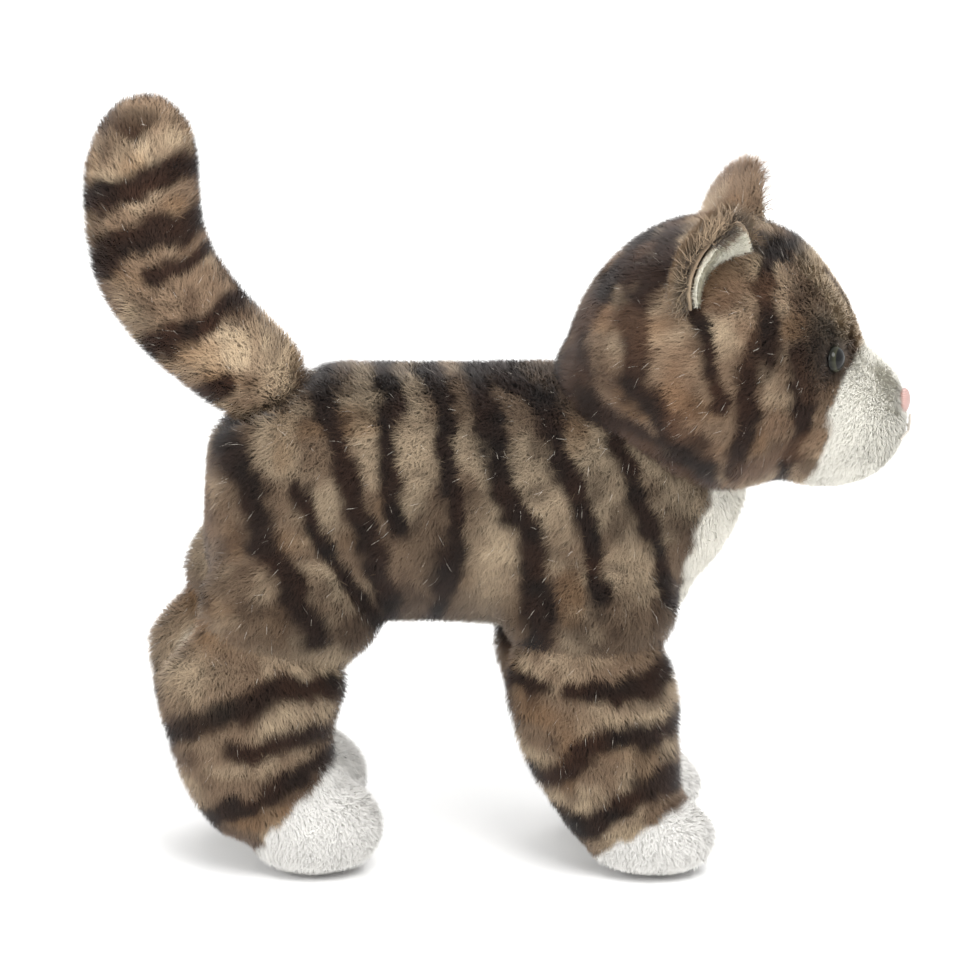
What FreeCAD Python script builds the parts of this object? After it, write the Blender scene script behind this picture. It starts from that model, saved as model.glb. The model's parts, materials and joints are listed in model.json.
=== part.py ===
import FreeCAD, Part
import math
import os

# A standing plush cat with a raised tail, in millimetres. +X is the way it faces, +Z is up and
# +Y is its left side. Each stuffed limb is a cover of pile fabric round a core of stuffing.
# The model is built about the middle of the body and moved at the end, so that the origin
# is the centre of the whole cat's footprint at floor level.

V = FreeCAD.Vector
os.makedirs("parts", exist_ok=True)

COVER = 3.0            # pile fabric, backing and packed pile together
SEAM_GAP = 0.15        # between a cover and its stuffing
BODY_GAP = 0.6         # between pieces that move against each other
HIP_GAP = 1.2          # round a leg's top, which is a lofted form and less exact
SIDES = (("right", -1), ("left", 1))

# Body: elliptical stations along X as (x, centre z, half height, half width)
TORSO_STATIONS = (
    (-104.0, 133.0, 14.0, 12.0),
    (-100.5, 134.0, 29.0, 25.0),
    (-90.0, 136.0, 39.5, 34.5),
    (-70.0, 136.5, 46.0, 40.0),
    (-40.0, 136.5, 47.0, 41.5),
    (0.0, 136.5, 47.0, 41.0),
    (30.0, 136.5, 46.5, 40.0),
    (55.0, 138.0, 42.0, 37.5),
    (74.0, 142.0, 33.0, 31.0),
    (86.0, 146.0, 22.0, 21.0),
    (91.0, 147.0, 10.0, 9.5),
)
BIB_BACK, BIB_HALF_WIDTH, BIB_BOTTOM = 60.0, 25.0, 96.0
BELLY_BACK, BELLY_HALF_WIDTH, BELLY_TOP = -78.0, 11.0, 100.0
CLOSING_START, CLOSING_PITCH = V(-38, 0, 88.7), 6.0
CLOSING_STITCHES, CLOSING_WIDTH = 7, 5.0

# Head, before it is turned a little to its right
NECK = V(56, 0, 168)
NECK_R = 20.0
HEAD_TURN = 8.0                          # degrees, nose towards the cat's right
SKULL, SKULL_R = V(82, 0, 190), V(52, 51, 48.5)
MUZZLE, MUZZLE_R = V(124, 0, 168), V(28, 31, 25.5)
MUZZLE_SEAM_TOP = V(132, 0, 197)         # the seam plane runs down and back from here
MUZZLE_SEAM_TILT = 22.5                  # degrees
CROWN_HALF_WIDTH, CROWN_BOTTOM = 13.0, 178.0
HEAD_SWING = (-20, 0, 20)
HEAD_NOD = (-12, 0, 12)

EYE_Y, EYE_Z = 25.0, 195.0
EYE_R, EYE_HEIGHT, EYE_SINK = 5.0, 4.0, 0.8
EYE_OUT, EYE_UP = 16.0, 4.0              # degrees that the eye's axis leans outwards and up
SHANK_R, SHANK_LENGTH = 1.6, 12.0
WASHER_R, WASHER_T, WASHER_DEPTH = 5.5, 1.4, 5.6
NOSE, NOSE_R = V(150.4, 0, 174.5), V(2.2, 6.6, 4.3)
NOSE_SINK = 1.2                          # how deep the nose's backing lies in the muzzle
MOUTH_DROP, MOUTH_SAG, MOUTH_STEP = 6.4, 1.1, 2.6    # height and curve of the mouth's side threads
THREAD_R = 0.55

# Ears: a cupped flap sewn along a line from EAR_FRONT to EAR_BACK (right ear; the left mirrors it)
EAR_FRONT, EAR_BACK = V(91.5, -19, 234), V(73, -43, 217)
EAR_RISE = V(-0.1, -0.56, 0.8)
EAR_HEIGHT, EAR_FOOT, EAR_CUP_R = 28.0, 4.0, 34.0
EAR_SHEET = 2.2
EAR_FLAP = 20.0                          # degrees each way

# Legs: hip centre, and stations down the leg as (centre x, z, half length, half width)
LEG_Y, HIP_HALF_WIDTH = 30.0, 18.0
LEFT_LEGS_BACK = {"front": -4.0, "hind": -7.0}       # the left legs stand a little further back
FRONT_HIP, FRONT_HIP_R = V(35, 0, 88), 30.0
FRONT_STATIONS = ((35.0, 90.0, 27.0, 16.5), (36.0, 74.0, 30.5, 18.0), (38.0, 56.0, 29.5, 18.0),
                  (44.0, 34.0, 25.5, 17.5), (52.0, 14.0, 23.0, 16.5))
FRONT_PAW, FRONT_PAW_R = V(58.5, 0, 13), V(25, 19, 17.5)
FRONT_PAW_SEAM, FRONT_PAW_TILT = V(72.4, 0, 32), 31.0
HIND_HIP, HIND_HIP_R = V(-85, 0, 84), 30.5
HIND_STATIONS = ((-86.0, 88.0, 29.0, 16.5), (-88.0, 72.0, 34.5, 18.0), (-88.5, 52.0, 30.5, 18.0),
                 (-83.0, 32.0, 29.5, 17.5), (-73.0, 14.0, 27.0, 16.5))
HIND_PAW, HIND_PAW_R = V(-65, 0, 16), V(25, 19, 20)
HIND_PAW_SEAM, HIND_PAW_TILT = V(-58.4, 0, 45), 51.0
SOLE_Z = 0.0
POUCH_SCALE = 0.62

# Tail: centre line stations as (x, z, radius), from inside the rump to the tip
TAIL_ROOT, TAIL_ROOT_R = V(-83, 0, 176), 9.0
TAIL_STATIONS = ((-73.0, 168.0, 7.0), (-77.0, 171.5, 12.5), (-84.0, 177.5, 16.0),
                 (-97.2, 189.6, 17.8), (-110.2, 202.6, 19.0), (-120.0, 216.0, 19.4),
                 (-125.6, 231.0, 19.6), (-127.6, 247.0, 19.5), (-126.9, 261.0, 18.6),
                 (-125.6, 271.0, 15.4), (-124.6, 278.6, 9.6), (-124.2, 282.2, 4.5))
TAIL_DIR = V(-0.73, 0, 0.68)
TAIL_SOCKET_R, TAIL_SOCKET_DEPTH = 20.5, 45.0
TAIL_FLARE = 35.0                        # widening of the socket, room for 20 degrees each way

LENGTH = 400.0                           # larger than the cat, for cutting boxes


def ellipsoid(centre, radii, grow=0.0):
    matrix = FreeCAD.Matrix()
    matrix.scale(radii.x + grow, radii.y + grow, radii.z + grow)
    shape = Part.makeSphere(1).transformGeometry(matrix)
    shape.translate(centre)
    return shape


def ellipse(centre, long_axis, short_axis):
    curve = Part.Ellipse(centre + long_axis, centre + short_axis, centre)
    return Part.Wire(curve.toShape())


def box(low, high):
    size = high - low
    return Part.makeBox(size.x, size.y, size.z, low)


def turned(shape, centre, axis, degrees):
    copy = shape.copy()
    copy.rotate(centre, axis, degrees)
    return copy


def mirrored(shape):
    return shape.mirror(V(0, 0, 0), V(0, 1, 0))


def half_space(point, tilt):
    """Everything in front of and below a plane through point that leans back by tilt."""
    block = box(V(0, -LENGTH / 2, -LENGTH / 2), V(LENGTH, LENGTH / 2, LENGTH / 2))
    block.rotate(V(0, 0, 0), V(0, 1, 0), tilt)
    block.translate(point)
    return block


def biggest(shape):
    return max(shape.Solids, key=lambda solid: solid.Volume)


def cut_all(shape, tools):
    for tool in tools:
        shape = shape.cut(tool)
    return shape


# ---- outer forms; grow makes the same form larger or smaller ----

def torso_form(grow=0.0):
    wires = []
    last = len(TORSO_STATIONS) - 1
    for i, (x, z, high, wide) in enumerate(TORSO_STATIONS):
        end = -grow if i == 0 else grow if i == last else 0.0
        wires.append(ellipse(V(x + end, 0, z), V(0, 0, high + grow), V(0, wide + grow, 0)))
    return Part.makeLoft(wires, True, False)


def skull_form(grow=0.0):
    return ellipsoid(SKULL, SKULL_R, grow)


def head_form(grow=0.0):
    return skull_form(grow).fuse(ellipsoid(MUZZLE, MUZZLE_R, grow))


def leg_form(hip, hip_r, stations, paw, paw_r, grow=0.0):
    wires = []
    for x, z, long, wide in stations:
        wires.append(ellipse(V(x, 0, z), V(long + grow, 0, 0), V(0, wide + grow, 0)))
    shaft = Part.makeLoft(wires, True, False)
    thigh = ellipsoid(hip, V(hip_r, HIP_HALF_WIDTH, hip_r), grow)
    foot = ellipsoid(paw, paw_r, grow)
    leg = thigh.fuse(shaft).fuse(foot)
    floor = SOLE_Z - min(grow, 0.0)
    return leg.cut(box(V(-LENGTH, -LENGTH, -LENGTH), V(LENGTH, LENGTH, floor)))


def tail_form(grow=0.0):
    wires = []
    last = len(TAIL_STATIONS) - 1
    for i, (x, z, r) in enumerate(TAIL_STATIONS):
        before = TAIL_STATIONS[max(i - 1, 0)]
        after = TAIL_STATIONS[min(i + 1, last)]
        along = V(after[0] - before[0], 0, after[1] - before[1]).normalize()
        across = V(-along.z, 0, along.x)
        end = -grow if i == 0 else grow if i == last else 0.0
        wires.append(ellipse(V(x, 0, z) + along * end, V(0, r + grow, 0), across * ((r + grow) * 0.99)))
    return Part.makeLoft(wires, True, False)


# ---- how each limb moves, for the room that it needs ----

def turn_head(shape, swing, nod):
    nodded = turned(shape, NECK, V(0, 1, 0), nod)
    return turned(nodded, NECK, V(0, 0, 1), swing)


def leg_place(where, side):
    return V(LEFT_LEGS_BACK[where] if side > 0 else 0.0, side * LEG_Y, 0)


def torso_recesses():
    """Everything that the moving limbs sweep through the body."""
    tools = []
    skull = rest_turn(skull_form(BODY_GAP))
    for swing in HEAD_SWING:
        for nod in HEAD_NOD:
            tools.append(turn_head(skull, swing, nod))
    tools.append(Part.makeSphere(NECK_R + BODY_GAP, NECK))
    tools.append(Part.makeSphere(TAIL_SOCKET_R, TAIL_ROOT))
    mouth_r = TAIL_SOCKET_R + TAIL_FLARE
    tools.append(Part.makeCone(TAIL_SOCKET_R, mouth_r, TAIL_SOCKET_DEPTH, TAIL_ROOT, TAIL_DIR))
    for where, hip, radius in (("front", FRONT_HIP, FRONT_HIP_R), ("hind", HIND_HIP, HIND_HIP_R)):
        for _, side in SIDES:
            centre = hip + leg_place(where, side)
            tools.append(ellipsoid(centre, V(radius, HIP_HALF_WIDTH, radius), HIP_GAP))
    return tools


def rest_turn(shape):
    return turned(shape, NECK, V(0, 0, 1), -HEAD_TURN)


# ---- pieces ----

def make_torso():
    tools = torso_recesses()
    outer = cut_all(torso_form(), tools)
    inner = cut_all(torso_form(-COVER), tools)
    shell = outer.cut(inner)
    bib_block = box(V(BIB_BACK, -BIB_HALF_WIDTH, BIB_BOTTOM), V(LENGTH, BIB_HALF_WIDTH, NECK.z + NECK_R))
    belly_block = box(V(BELLY_BACK, -BELLY_HALF_WIDTH, 0), V(BIB_BACK + NECK_R, BELLY_HALF_WIDTH, BELLY_TOP))
    belly = shell.common(belly_block)
    bib = shell.common(bib_block).cut(belly_block)
    sides = shell.cut(bib_block).cut(belly_block)
    right = sides.cut(box(V(-LENGTH, 0, -LENGTH), V(LENGTH, LENGTH, LENGTH)))
    left = sides.cut(box(V(-LENGTH, -LENGTH, -LENGTH), V(LENGTH, 0, LENGTH)))
    pieces = {
        "body_panel_right": biggest(right),
        "body_panel_left": biggest(left),
        "chest_bib": biggest(bib),
        "belly_panel": biggest(belly),
        "closing_seam_stitches": closing_stitches(),
        "body_stuffing": biggest(cut_all(torso_form(-COVER - SEAM_GAP), tools)),
    }
    return pieces


def closing_stitches():
    """A short row of ladder stitches in the belly, where the body was stuffed and closed."""
    stitches = []
    for step in range(CLOSING_STITCHES):
        start = CLOSING_START + V(CLOSING_PITCH * step, -CLOSING_WIDTH / 2, 0)
        stitches.append(Part.makeCylinder(THREAD_R, CLOSING_WIDTH, start, V(0, 1, 0)))
    return Part.makeCompound(stitches)


def eye_axis(side):
    out = math.radians(EYE_OUT)
    up = math.radians(EYE_UP)
    return V(math.cos(out) * math.cos(up), side * math.sin(out) * math.cos(up), math.sin(up))


def eye_point(side):
    across = EYE_Y / SKULL_R.y
    above = (EYE_Z - SKULL.z) / SKULL_R.z
    x = SKULL.x + SKULL_R.x * math.sqrt(1 - across ** 2 - above ** 2)
    return V(x, side * EYE_Y, EYE_Z)


def eye(side, grow=0.0):
    """A domed eye and the ribbed shank behind it, in one moulding."""
    axis = eye_axis(side)
    base = eye_point(side) - axis * EYE_SINK
    dome = ellipsoid(V(0, 0, 0), V(EYE_R, EYE_R, EYE_HEIGHT), grow)
    dome = dome.cut(box(V(-20, -20, -20), V(20, 20, -grow)))
    shank = Part.makeCylinder(SHANK_R + grow, SHANK_LENGTH + grow, V(0, 0, 0.01), V(0, 0, -1))
    shape = dome.fuse(shank)
    shape.rotate(V(0, 0, 0), V(0, 1, 0), 90 - EYE_UP)
    shape.rotate(V(0, 0, 0), V(0, 0, 1), side * EYE_OUT)
    shape.translate(base)
    return shape


def eye_washer(side, grow=0.0):
    axis = eye_axis(side)
    base = eye_point(side) - axis * (WASHER_DEPTH + EYE_SINK - grow)
    disc = Part.makeCylinder(WASHER_R + grow, WASHER_T + 2 * grow, base, axis * -1)
    if grow:
        return disc
    bore = Part.makeCylinder(SHANK_R + 0.05, LENGTH / 4, base + axis * 20, axis * -1)
    return disc.cut(bore)


def mouth_stitches():
    """One thread down from the nose and one curving to each side, laid on the muzzle."""
    skin = THREAD_R + 0.1
    top = NOSE.z - NOSE_R.z - NOSE_SINK
    strands = []
    for side in (-1, 0, 1):
        points = []
        for step in range(5):
            y = side * step * MOUTH_STEP
            z = top - MOUTH_DROP * step / 4
            if side:
                z = top - MOUTH_DROP + MOUTH_SAG * math.sin(step * 0.8)
            deep = 1 - (y / MUZZLE_R.y) ** 2 - ((z - MUZZLE.z) / MUZZLE_R.z) ** 2
            points.append(V(MUZZLE.x + MUZZLE_R.x * math.sqrt(deep) + skin, y, z))
        for a, b in zip(points, points[1:]):
            strands.append(Part.makeCylinder(THREAD_R, (b - a).Length, a, b - a))
        strands += [Part.makeSphere(THREAD_R, point) for point in points]
    thread = strands[0]
    for strand in strands[1:]:
        thread = thread.fuse(strand)
    return thread


def make_head():
    neck_room = Part.makeSphere(NECK_R + BODY_GAP, NECK)
    outer = head_form().cut(neck_room)
    inner = head_form(-COVER).cut(neck_room)
    nose = ellipsoid(NOSE, NOSE_R).cut(ellipsoid(MUZZLE, MUZZLE_R, -NOSE_SINK))
    eyes = [eye(side) for _, side in SIDES]
    washers = [eye_washer(side) for _, side in SIDES]
    eye_rooms = [eye(side, 0.1) for _, side in SIDES] + [eye_washer(side, 0.1) for _, side in SIDES]
    shell = cut_all(outer.cut(inner), eye_rooms + [nose])
    muzzle_block = half_space(MUZZLE_SEAM_TOP, MUZZLE_SEAM_TILT)
    crown_block = box(V(-LENGTH, -CROWN_HALF_WIDTH, CROWN_BOTTOM), V(LENGTH, CROWN_HALF_WIDTH, LENGTH))
    muzzle = shell.common(muzzle_block)
    rest = shell.cut(muzzle_block)
    sides = rest.cut(crown_block)
    panel = biggest(sides.common(box(V(-LENGTH, 0, 0), V(LENGTH, LENGTH, LENGTH))))
    stuffing = cut_all(head_form(-COVER - SEAM_GAP).cut(neck_room), eye_rooms)
    pieces = {
        "head_panel_right": mirrored(panel),
        "head_panel_left": panel,
        "head_crown_gusset": biggest(rest.common(crown_block)),
        "muzzle_cover": biggest(muzzle),
        "head_stuffing": biggest(stuffing),
        "nose_embroidery": biggest(nose),
        "mouth_stitches": mouth_stitches(),
    }
    for i, (name, _) in enumerate(SIDES):
        pieces["eye_" + name] = eyes[i]
        pieces["eye_washer_" + name] = washers[i]
    return pieces


def ear_sheet(inner_r, outer_r):
    """A cupped sheet standing on the u axis: u along the base, v up, the hollow towards -w."""
    half = (EAR_BACK - EAR_FRONT).Length / 2
    foot = V(half, -EAR_FOOT, 0)
    waist = V(half * 0.93, EAR_HEIGHT * 0.5, 0)
    shoulder = V(half * 0.34, EAR_HEIGHT * 0.93, 0)
    foot_b, waist_b, shoulder_b = [V(-p.x, p.y, 0) for p in (foot, waist, shoulder)]
    curves = (
        Part.Arc(foot_b, waist_b, shoulder_b),
        Part.Arc(shoulder_b, V(0, EAR_HEIGHT, 0), shoulder),
        Part.Arc(shoulder, waist, foot),
        Part.LineSegment(foot, foot_b),
    )
    outline = Part.Wire([curve.toShape() for curve in curves])
    prism = Part.Face(outline).extrude(V(0, 0, LENGTH))
    prism.translate(V(0, 0, -EAR_HEIGHT))
    centre = V(0, EAR_FOOT, -EAR_CUP_R + EAR_SHEET)
    cup = Part.makeSphere(outer_r, centre).cut(Part.makeSphere(inner_r, centre))
    return biggest(prism.common(cup))


def place_ear(shape):
    base = (EAR_BACK - EAR_FRONT).normalize()
    rise = EAR_RISE - base * EAR_RISE.dot(base)
    rise.normalize()
    normal = base.cross(rise)
    middle = (EAR_FRONT + EAR_BACK) * 0.5
    matrix = FreeCAD.Matrix(base.x, rise.x, normal.x, middle.x,
                            base.y, rise.y, normal.y, middle.y,
                            base.z, rise.z, normal.z, middle.z,
                            0, 0, 0, 1)
    placed = shape.copy()
    placed.transformShape(matrix)
    return placed


def make_ear():
    """The right ear's pieces, with its foot cut back clear of the head at every flap angle."""
    back = place_ear(ear_sheet(EAR_CUP_R - EAR_SHEET, EAR_CUP_R))
    lining = place_ear(ear_sheet(EAR_CUP_R - 2 * EAR_SHEET, EAR_CUP_R - EAR_SHEET))
    middle = (EAR_FRONT + EAR_BACK) * 0.5
    base = EAR_BACK - EAR_FRONT
    for angle in (-EAR_FLAP, -EAR_FLAP / 2, 0, EAR_FLAP / 2, EAR_FLAP):
        skull = turned(skull_form(0.5), middle, base, angle)
        back = back.cut(skull)
        lining = lining.cut(skull)
    return {"back": biggest(back), "lining": biggest(lining)}


def make_leg(hip, hip_r, stations, paw, paw_r, seam, tilt):
    """One leg on the centre plane: cover, paw cover, stuffing and the pellet pouch in the paw."""
    outer = leg_form(hip, hip_r, stations, paw, paw_r)
    inner = leg_form(hip, hip_r, stations, paw, paw_r, -COVER)
    shell = outer.cut(inner)
    block = box(V(-LENGTH, -LENGTH / 2, -LENGTH), V(LENGTH, LENGTH / 2, 0))
    block.rotate(V(0, 0, 0), V(0, 1, 0), -tilt)
    block.translate(seam)
    pouch_r = V(paw_r.x * POUCH_SCALE, paw_r.y * POUCH_SCALE, paw_r.z * POUCH_SCALE)
    pouch = ellipsoid(paw + V(0, 0, 1.5), pouch_r)
    pouch_room = ellipsoid(paw + V(0, 0, 1.5), pouch_r, SEAM_GAP)
    stuffing = leg_form(hip, hip_r, stations, paw, paw_r, -COVER - SEAM_GAP).cut(pouch_room)
    return {
        "leg_cover": biggest(shell.cut(block)),
        "paw_cover": biggest(shell.common(block)),
        "leg_stuffing": biggest(stuffing),
        "pellet_pouch": pouch,
    }


def make_tail():
    root_room = Part.makeSphere(TAIL_ROOT_R + 0.4, TAIL_ROOT)
    inner = tail_form(-COVER)
    return {
        "tail_cover": biggest(tail_form().cut(inner).cut(root_room)),
        "tail_stuffing": biggest(tail_form(-COVER - SEAM_GAP).cut(root_room)),
    }


def make_cat():
    cat = make_torso()
    cat["neck_stuffing"] = Part.makeSphere(NECK_R, NECK)
    for name, shape in make_head().items():
        cat[name] = rest_turn(shape)
    for name, shape in make_ear().items():
        cat["ear_right_" + name] = rest_turn(shape)
        cat["ear_left_" + name] = rest_turn(mirrored(shape))
    front = make_leg(FRONT_HIP, FRONT_HIP_R, FRONT_STATIONS, FRONT_PAW, FRONT_PAW_R,
                     FRONT_PAW_SEAM, FRONT_PAW_TILT)
    hind = make_leg(HIND_HIP, HIND_HIP_R, HIND_STATIONS, HIND_PAW, HIND_PAW_R,
                    HIND_PAW_SEAM, HIND_PAW_TILT)
    for where, leg in (("front", front), ("hind", hind)):
        for name, shape in leg.items():
            for side_name, side in SIDES:
                placed = shape.copy()
                placed.translate(leg_place(where, side))
                cat[where + "_" + side_name + "_" + name] = placed
    cat["tail_root_stuffing"] = Part.makeSphere(TAIL_ROOT_R, TAIL_ROOT)
    cat.update(make_tail())
    return cat


def main():
    cat = make_cat()
    bound = Part.makeCompound(list(cat.values())).optimalBoundingBox(True, False)
    shift = V(-bound.Center.x, -bound.Center.y, -bound.ZMin)
    for name, shape in sorted(cat.items()):
        shape.translate(shift)
        shape.exportStep("parts/" + name + ".step")
        print(name, len(shape.Solids), shape.isValid(), round(shape.Volume / 1000, 2))
    print("size", round(bound.XLength, 2), round(bound.YLength, 2), round(bound.ZLength, 2))
    print("shift", round(shift.x, 4), round(shift.y, 4), round(shift.z, 4))


main()
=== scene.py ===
import json
import math
import bmesh
import bpy
import numpy as np
from mathutils import Matrix, Vector


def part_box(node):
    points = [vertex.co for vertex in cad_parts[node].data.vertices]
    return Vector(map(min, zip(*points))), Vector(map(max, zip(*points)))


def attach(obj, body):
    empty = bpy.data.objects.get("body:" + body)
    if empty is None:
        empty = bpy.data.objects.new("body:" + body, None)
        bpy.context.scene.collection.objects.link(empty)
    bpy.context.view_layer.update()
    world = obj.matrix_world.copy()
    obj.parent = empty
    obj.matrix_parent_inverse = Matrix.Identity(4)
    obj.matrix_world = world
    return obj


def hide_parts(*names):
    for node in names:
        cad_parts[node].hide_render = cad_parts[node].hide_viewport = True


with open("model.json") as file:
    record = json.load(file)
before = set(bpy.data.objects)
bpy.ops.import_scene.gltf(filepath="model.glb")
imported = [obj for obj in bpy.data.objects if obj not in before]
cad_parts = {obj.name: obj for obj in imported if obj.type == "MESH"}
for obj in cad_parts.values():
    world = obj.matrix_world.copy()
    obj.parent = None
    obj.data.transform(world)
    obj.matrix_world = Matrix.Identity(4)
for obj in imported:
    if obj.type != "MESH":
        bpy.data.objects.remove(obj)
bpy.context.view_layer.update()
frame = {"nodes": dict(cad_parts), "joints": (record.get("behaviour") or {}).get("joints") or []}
NODES = frame["nodes"]
MM = 0.001


def middle_of(node):
    """The middle of a CAD node's box."""
    low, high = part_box(node)
    return np.array((low + high) / 2)


# The cat's pattern is drawn in millimetres on its near side, as seen from VIEW_TILT above level:
# x along the body from the middle, and height up the view. The far side mirrors it.
VIEW_TILT = math.radians(15)
VIEW_LIFT = 10                             # puts the near feet at about height 0 in the pattern
NECK = middle_of("neck_stuffing")
NECK_X, NECK_Z = 56.0, 168.0               # the neck's place in the pattern
ORIGIN_MM = NECK / MM - np.array((NECK_X, 0.0, NECK_Z))
HEAD_TURN = math.radians(8)                # to the cat's right
SKULL = (26.0, 0.0, 190.0)                 # millimetres ahead of the neck, across, and up
SKULL_RADII = (52.0, 51.0, 48.5)
BURIED = 0.84                              # of the skull's radii: no body fur grows further in
EYE_OUT, EYE_UP = math.radians(16), math.radians(4)
EYE_RADIUS = 5.0 * MM
EYE_REACH = 7.1 * MM                       # from the washer to the middle of the dome

# ------------------------------------------------------------------ numbers and noise


def linear(red, green, blue):
    """A display colour from 0 to 255 as linear light."""
    c = np.array((red, green, blue)) / 255
    return np.where(c <= 0.04045, c / 12.92, ((c + 0.055) / 1.055) ** 2.4)


DARK = linear(23, 11, 4)
DARK_WARM = linear(57, 33, 18)
TAUPE = linear(133, 110, 88)
CREAM = linear(200, 178, 148)
TAN = linear(146, 108, 70)
RUSSET = linear(150, 112, 84)
WHITE = linear(252, 250, 245)
BIB = linear(246, 242, 230)
MUZZLE = linear(240, 237, 226)
LINING = linear(244, 242, 226)
PINK = linear(205, 166, 158)
MOUTH = linear(234, 226, 216)
SEAM = linear(170, 160, 145)
# Painted highlight: brighter than white, the colour of glints of light on single strands.
PAINTED_GLINT = linear(250, 240, 225) * 1.1


def lattice(seed):
    """Fixed random values on the corners of a grid that repeats every 32 cells."""
    return np.random.default_rng(seed).random((32, 32, 32))


def noise(points, scale, seed):
    """Smooth noise from 0 to 1 at points, with lumps of about scale."""
    grid = lattice(seed)
    p = points / scale + 1000.0
    cell = np.floor(p).astype(int)
    f = p - cell
    f = f * f * (3 - 2 * f)
    total = np.zeros(len(points))
    for corner in range(8):
        bit = np.array((corner & 1, corner >> 1 & 1, corner >> 2 & 1))
        weight = np.prod(np.where(bit, f, 1 - f), axis=1)
        index = (cell + bit) % 32
        total += weight * grid[index[:, 0], index[:, 1], index[:, 2]]
    return total


def smooth(value, low, high):
    """An eased step from 0 at low to 1 at high."""
    t = np.clip((value - low) / (high - low), 0, 1)
    return t * t * (3 - 2 * t)


def mix(a, b, weight):
    """Row by row from a, at weight 0, to b, at weight 1."""
    return a + (b - a) * weight[:, None]


def unit(vectors):
    return vectors / np.maximum(np.linalg.norm(vectors, axis=1, keepdims=True), 1e-9)


# ------------------------------------------------------------------ the pattern

BODY_STRIPES = (
    (4.0, ((-95, 164), (-87, 144), (-81, 121), (-73, 110), (-64, 90))),
    (3.2, ((-69, 143), (-61, 128), (-52, 108), (-40, 94))),
    (3.6, ((-64, 190), (-60, 176), (-55, 157), (-49, 138), (-42, 119), (-37, 100))),
    (3.4, ((-40, 187), (-35, 172), (-38, 157), (-33, 133))),
    (3.2, ((-24, 189), (-18, 173), (-15, 151), (-15, 125), (-20, 100))),
    (3.8, ((-6, 190), (-5, 176), (1, 159), (3, 141), (14, 127), (18, 100), (19, 84))),
    (3.6, ((0, 185), (15, 176), (23, 159), (31, 141), (36, 123), (40, 103))),
    (3.2, ((46, 159), (52, 141), (58, 121), (62, 103))),
)
TAIL_STRIPES = (
    (4.2, ((-108, 261), (-128, 251), (-149, 244))),
    (4.4, ((-105, 240), (-134, 231), (-146, 218))),
    (3.0, ((-103, 229), (-122, 220))),
    (4.0, ((-87, 213), (-109, 199), (-130, 193))),
    (2.6, ((-98, 182), (-112, 176))),
    (3.4, ((-143, 271), (-134, 276), (-126, 272))),
)
HIND_STRIPES = (
    (3.8, ((-50, 74), (-55, 73), (-77, 71), (-94, 64), (-119, 55), (-126, 52))),
    (3.0, ((-66, 58), (-74, 53), (-91, 48))),
    (3.4, ((-60, 49), (-72, 40), (-86, 33), (-101, 23), (-108, 24))),
    (3.2, ((-108, 108), (-98, 100), (-92, 97))),
)
FRONT_STRIPES = (
    (3.0, ((66, 79), (53, 74), (44, 68), (30, 70))),
    (3.8, ((68, 62), (51, 54), (37, 51), (25, 42), (14, 42))),
    (3.8, ((72, 43), (62, 41), (51, 32), (37, 23), (29, 21), (20, 25))),
    (3.0, ((2, 80), (12, 74), (20, 72))),
)
HEAD_STRIPES = (
    (3.0, ((24, 201), (27, 186), (36, 172), (46, 166))),
    (3.8, ((57, 236), (55, 224), (46, 215), (36, 202), (34, 186), (36, 176), (46, 167), (60, 159),
           (78, 149))),
    (4.0, ((66, 237), (62, 222), (54, 209), (53, 195), (51, 181), (60, 174), (68, 162), (77, 152))),
    (3.0, ((72, 219), (74, 204), (77, 190), (81, 174))),
    (3.4, ((102, 224), (95, 213), (97, 200), (94, 186), (89, 172), (87, 153))),
    (3.4, ((107, 189), (110, 176), (109, 162), (105, 151), (104, 143))),
    (3.4, ((104, 229), (114, 228), (123, 224))),
)
EAR_STRIPES = ((3.0, ((50, 250), (90, 251), (120, 248))),)


def straightened(p):
    """Pattern places with the head's turn undone: millimetres ahead of the neck, and across."""
    c, s = math.cos(HEAD_TURN), math.sin(HEAD_TURN)
    ahead, across = p[:, 0] - NECK_X, p[:, 1]
    return ahead * c - across * s, ahead * s + across * c


def distance_to(points, line):
    """Distance of 2D points from a run of straight pieces."""
    nearest = np.full(len(points), 1e9)
    for a, b in zip(line, line[1:]):
        a, b = np.array(a, float), np.array(b, float)
        along = np.clip(((points - a) @ (b - a)) / ((b - a) @ (b - a)), 0, 1)
        nearest = np.minimum(nearest, np.linalg.norm(points - a - along[:, None] * (b - a), axis=1))
    return nearest


def side_view(points, turned=False):
    """Millimetres in the pattern's side view. Points on the far side are mirrored to the near one."""
    p = points / MM - ORIGIN_MM
    if turned:
        c, s = math.cos(HEAD_TURN), math.sin(HEAD_TURN)
        ahead, across = straightened(p)
        across = -np.abs(across)
        p = np.stack((NECK_X + ahead * c + across * s, across * c - ahead * s, p[:, 2]), axis=1)
    near = p[:, 1] if turned else -np.abs(p[:, 1])
    height = p[:, 2] * math.cos(VIEW_TILT) + near * math.sin(VIEW_TILT) + VIEW_LIFT
    return np.stack((p[:, 0], height), axis=1), p


def stripe_weight(points, flat, stripes):
    """1 inside the stripes, each given as (half width, line), and 0 away from them, with ragged edges."""
    wander = (np.stack((noise(points, 9 * MM, 11), noise(points, 9 * MM, 12)), axis=1) - 0.5) * 6
    place = flat + wander
    ragged = (noise(points, 3.2 * MM, 13) - 0.5) * 3.2
    weight = np.zeros(len(points))
    for half, line in stripes:
        weight = np.maximum(weight, 1 - smooth(distance_to(place, line) + ragged, half * 0.65, half * 1.9))
    return weight


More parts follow.
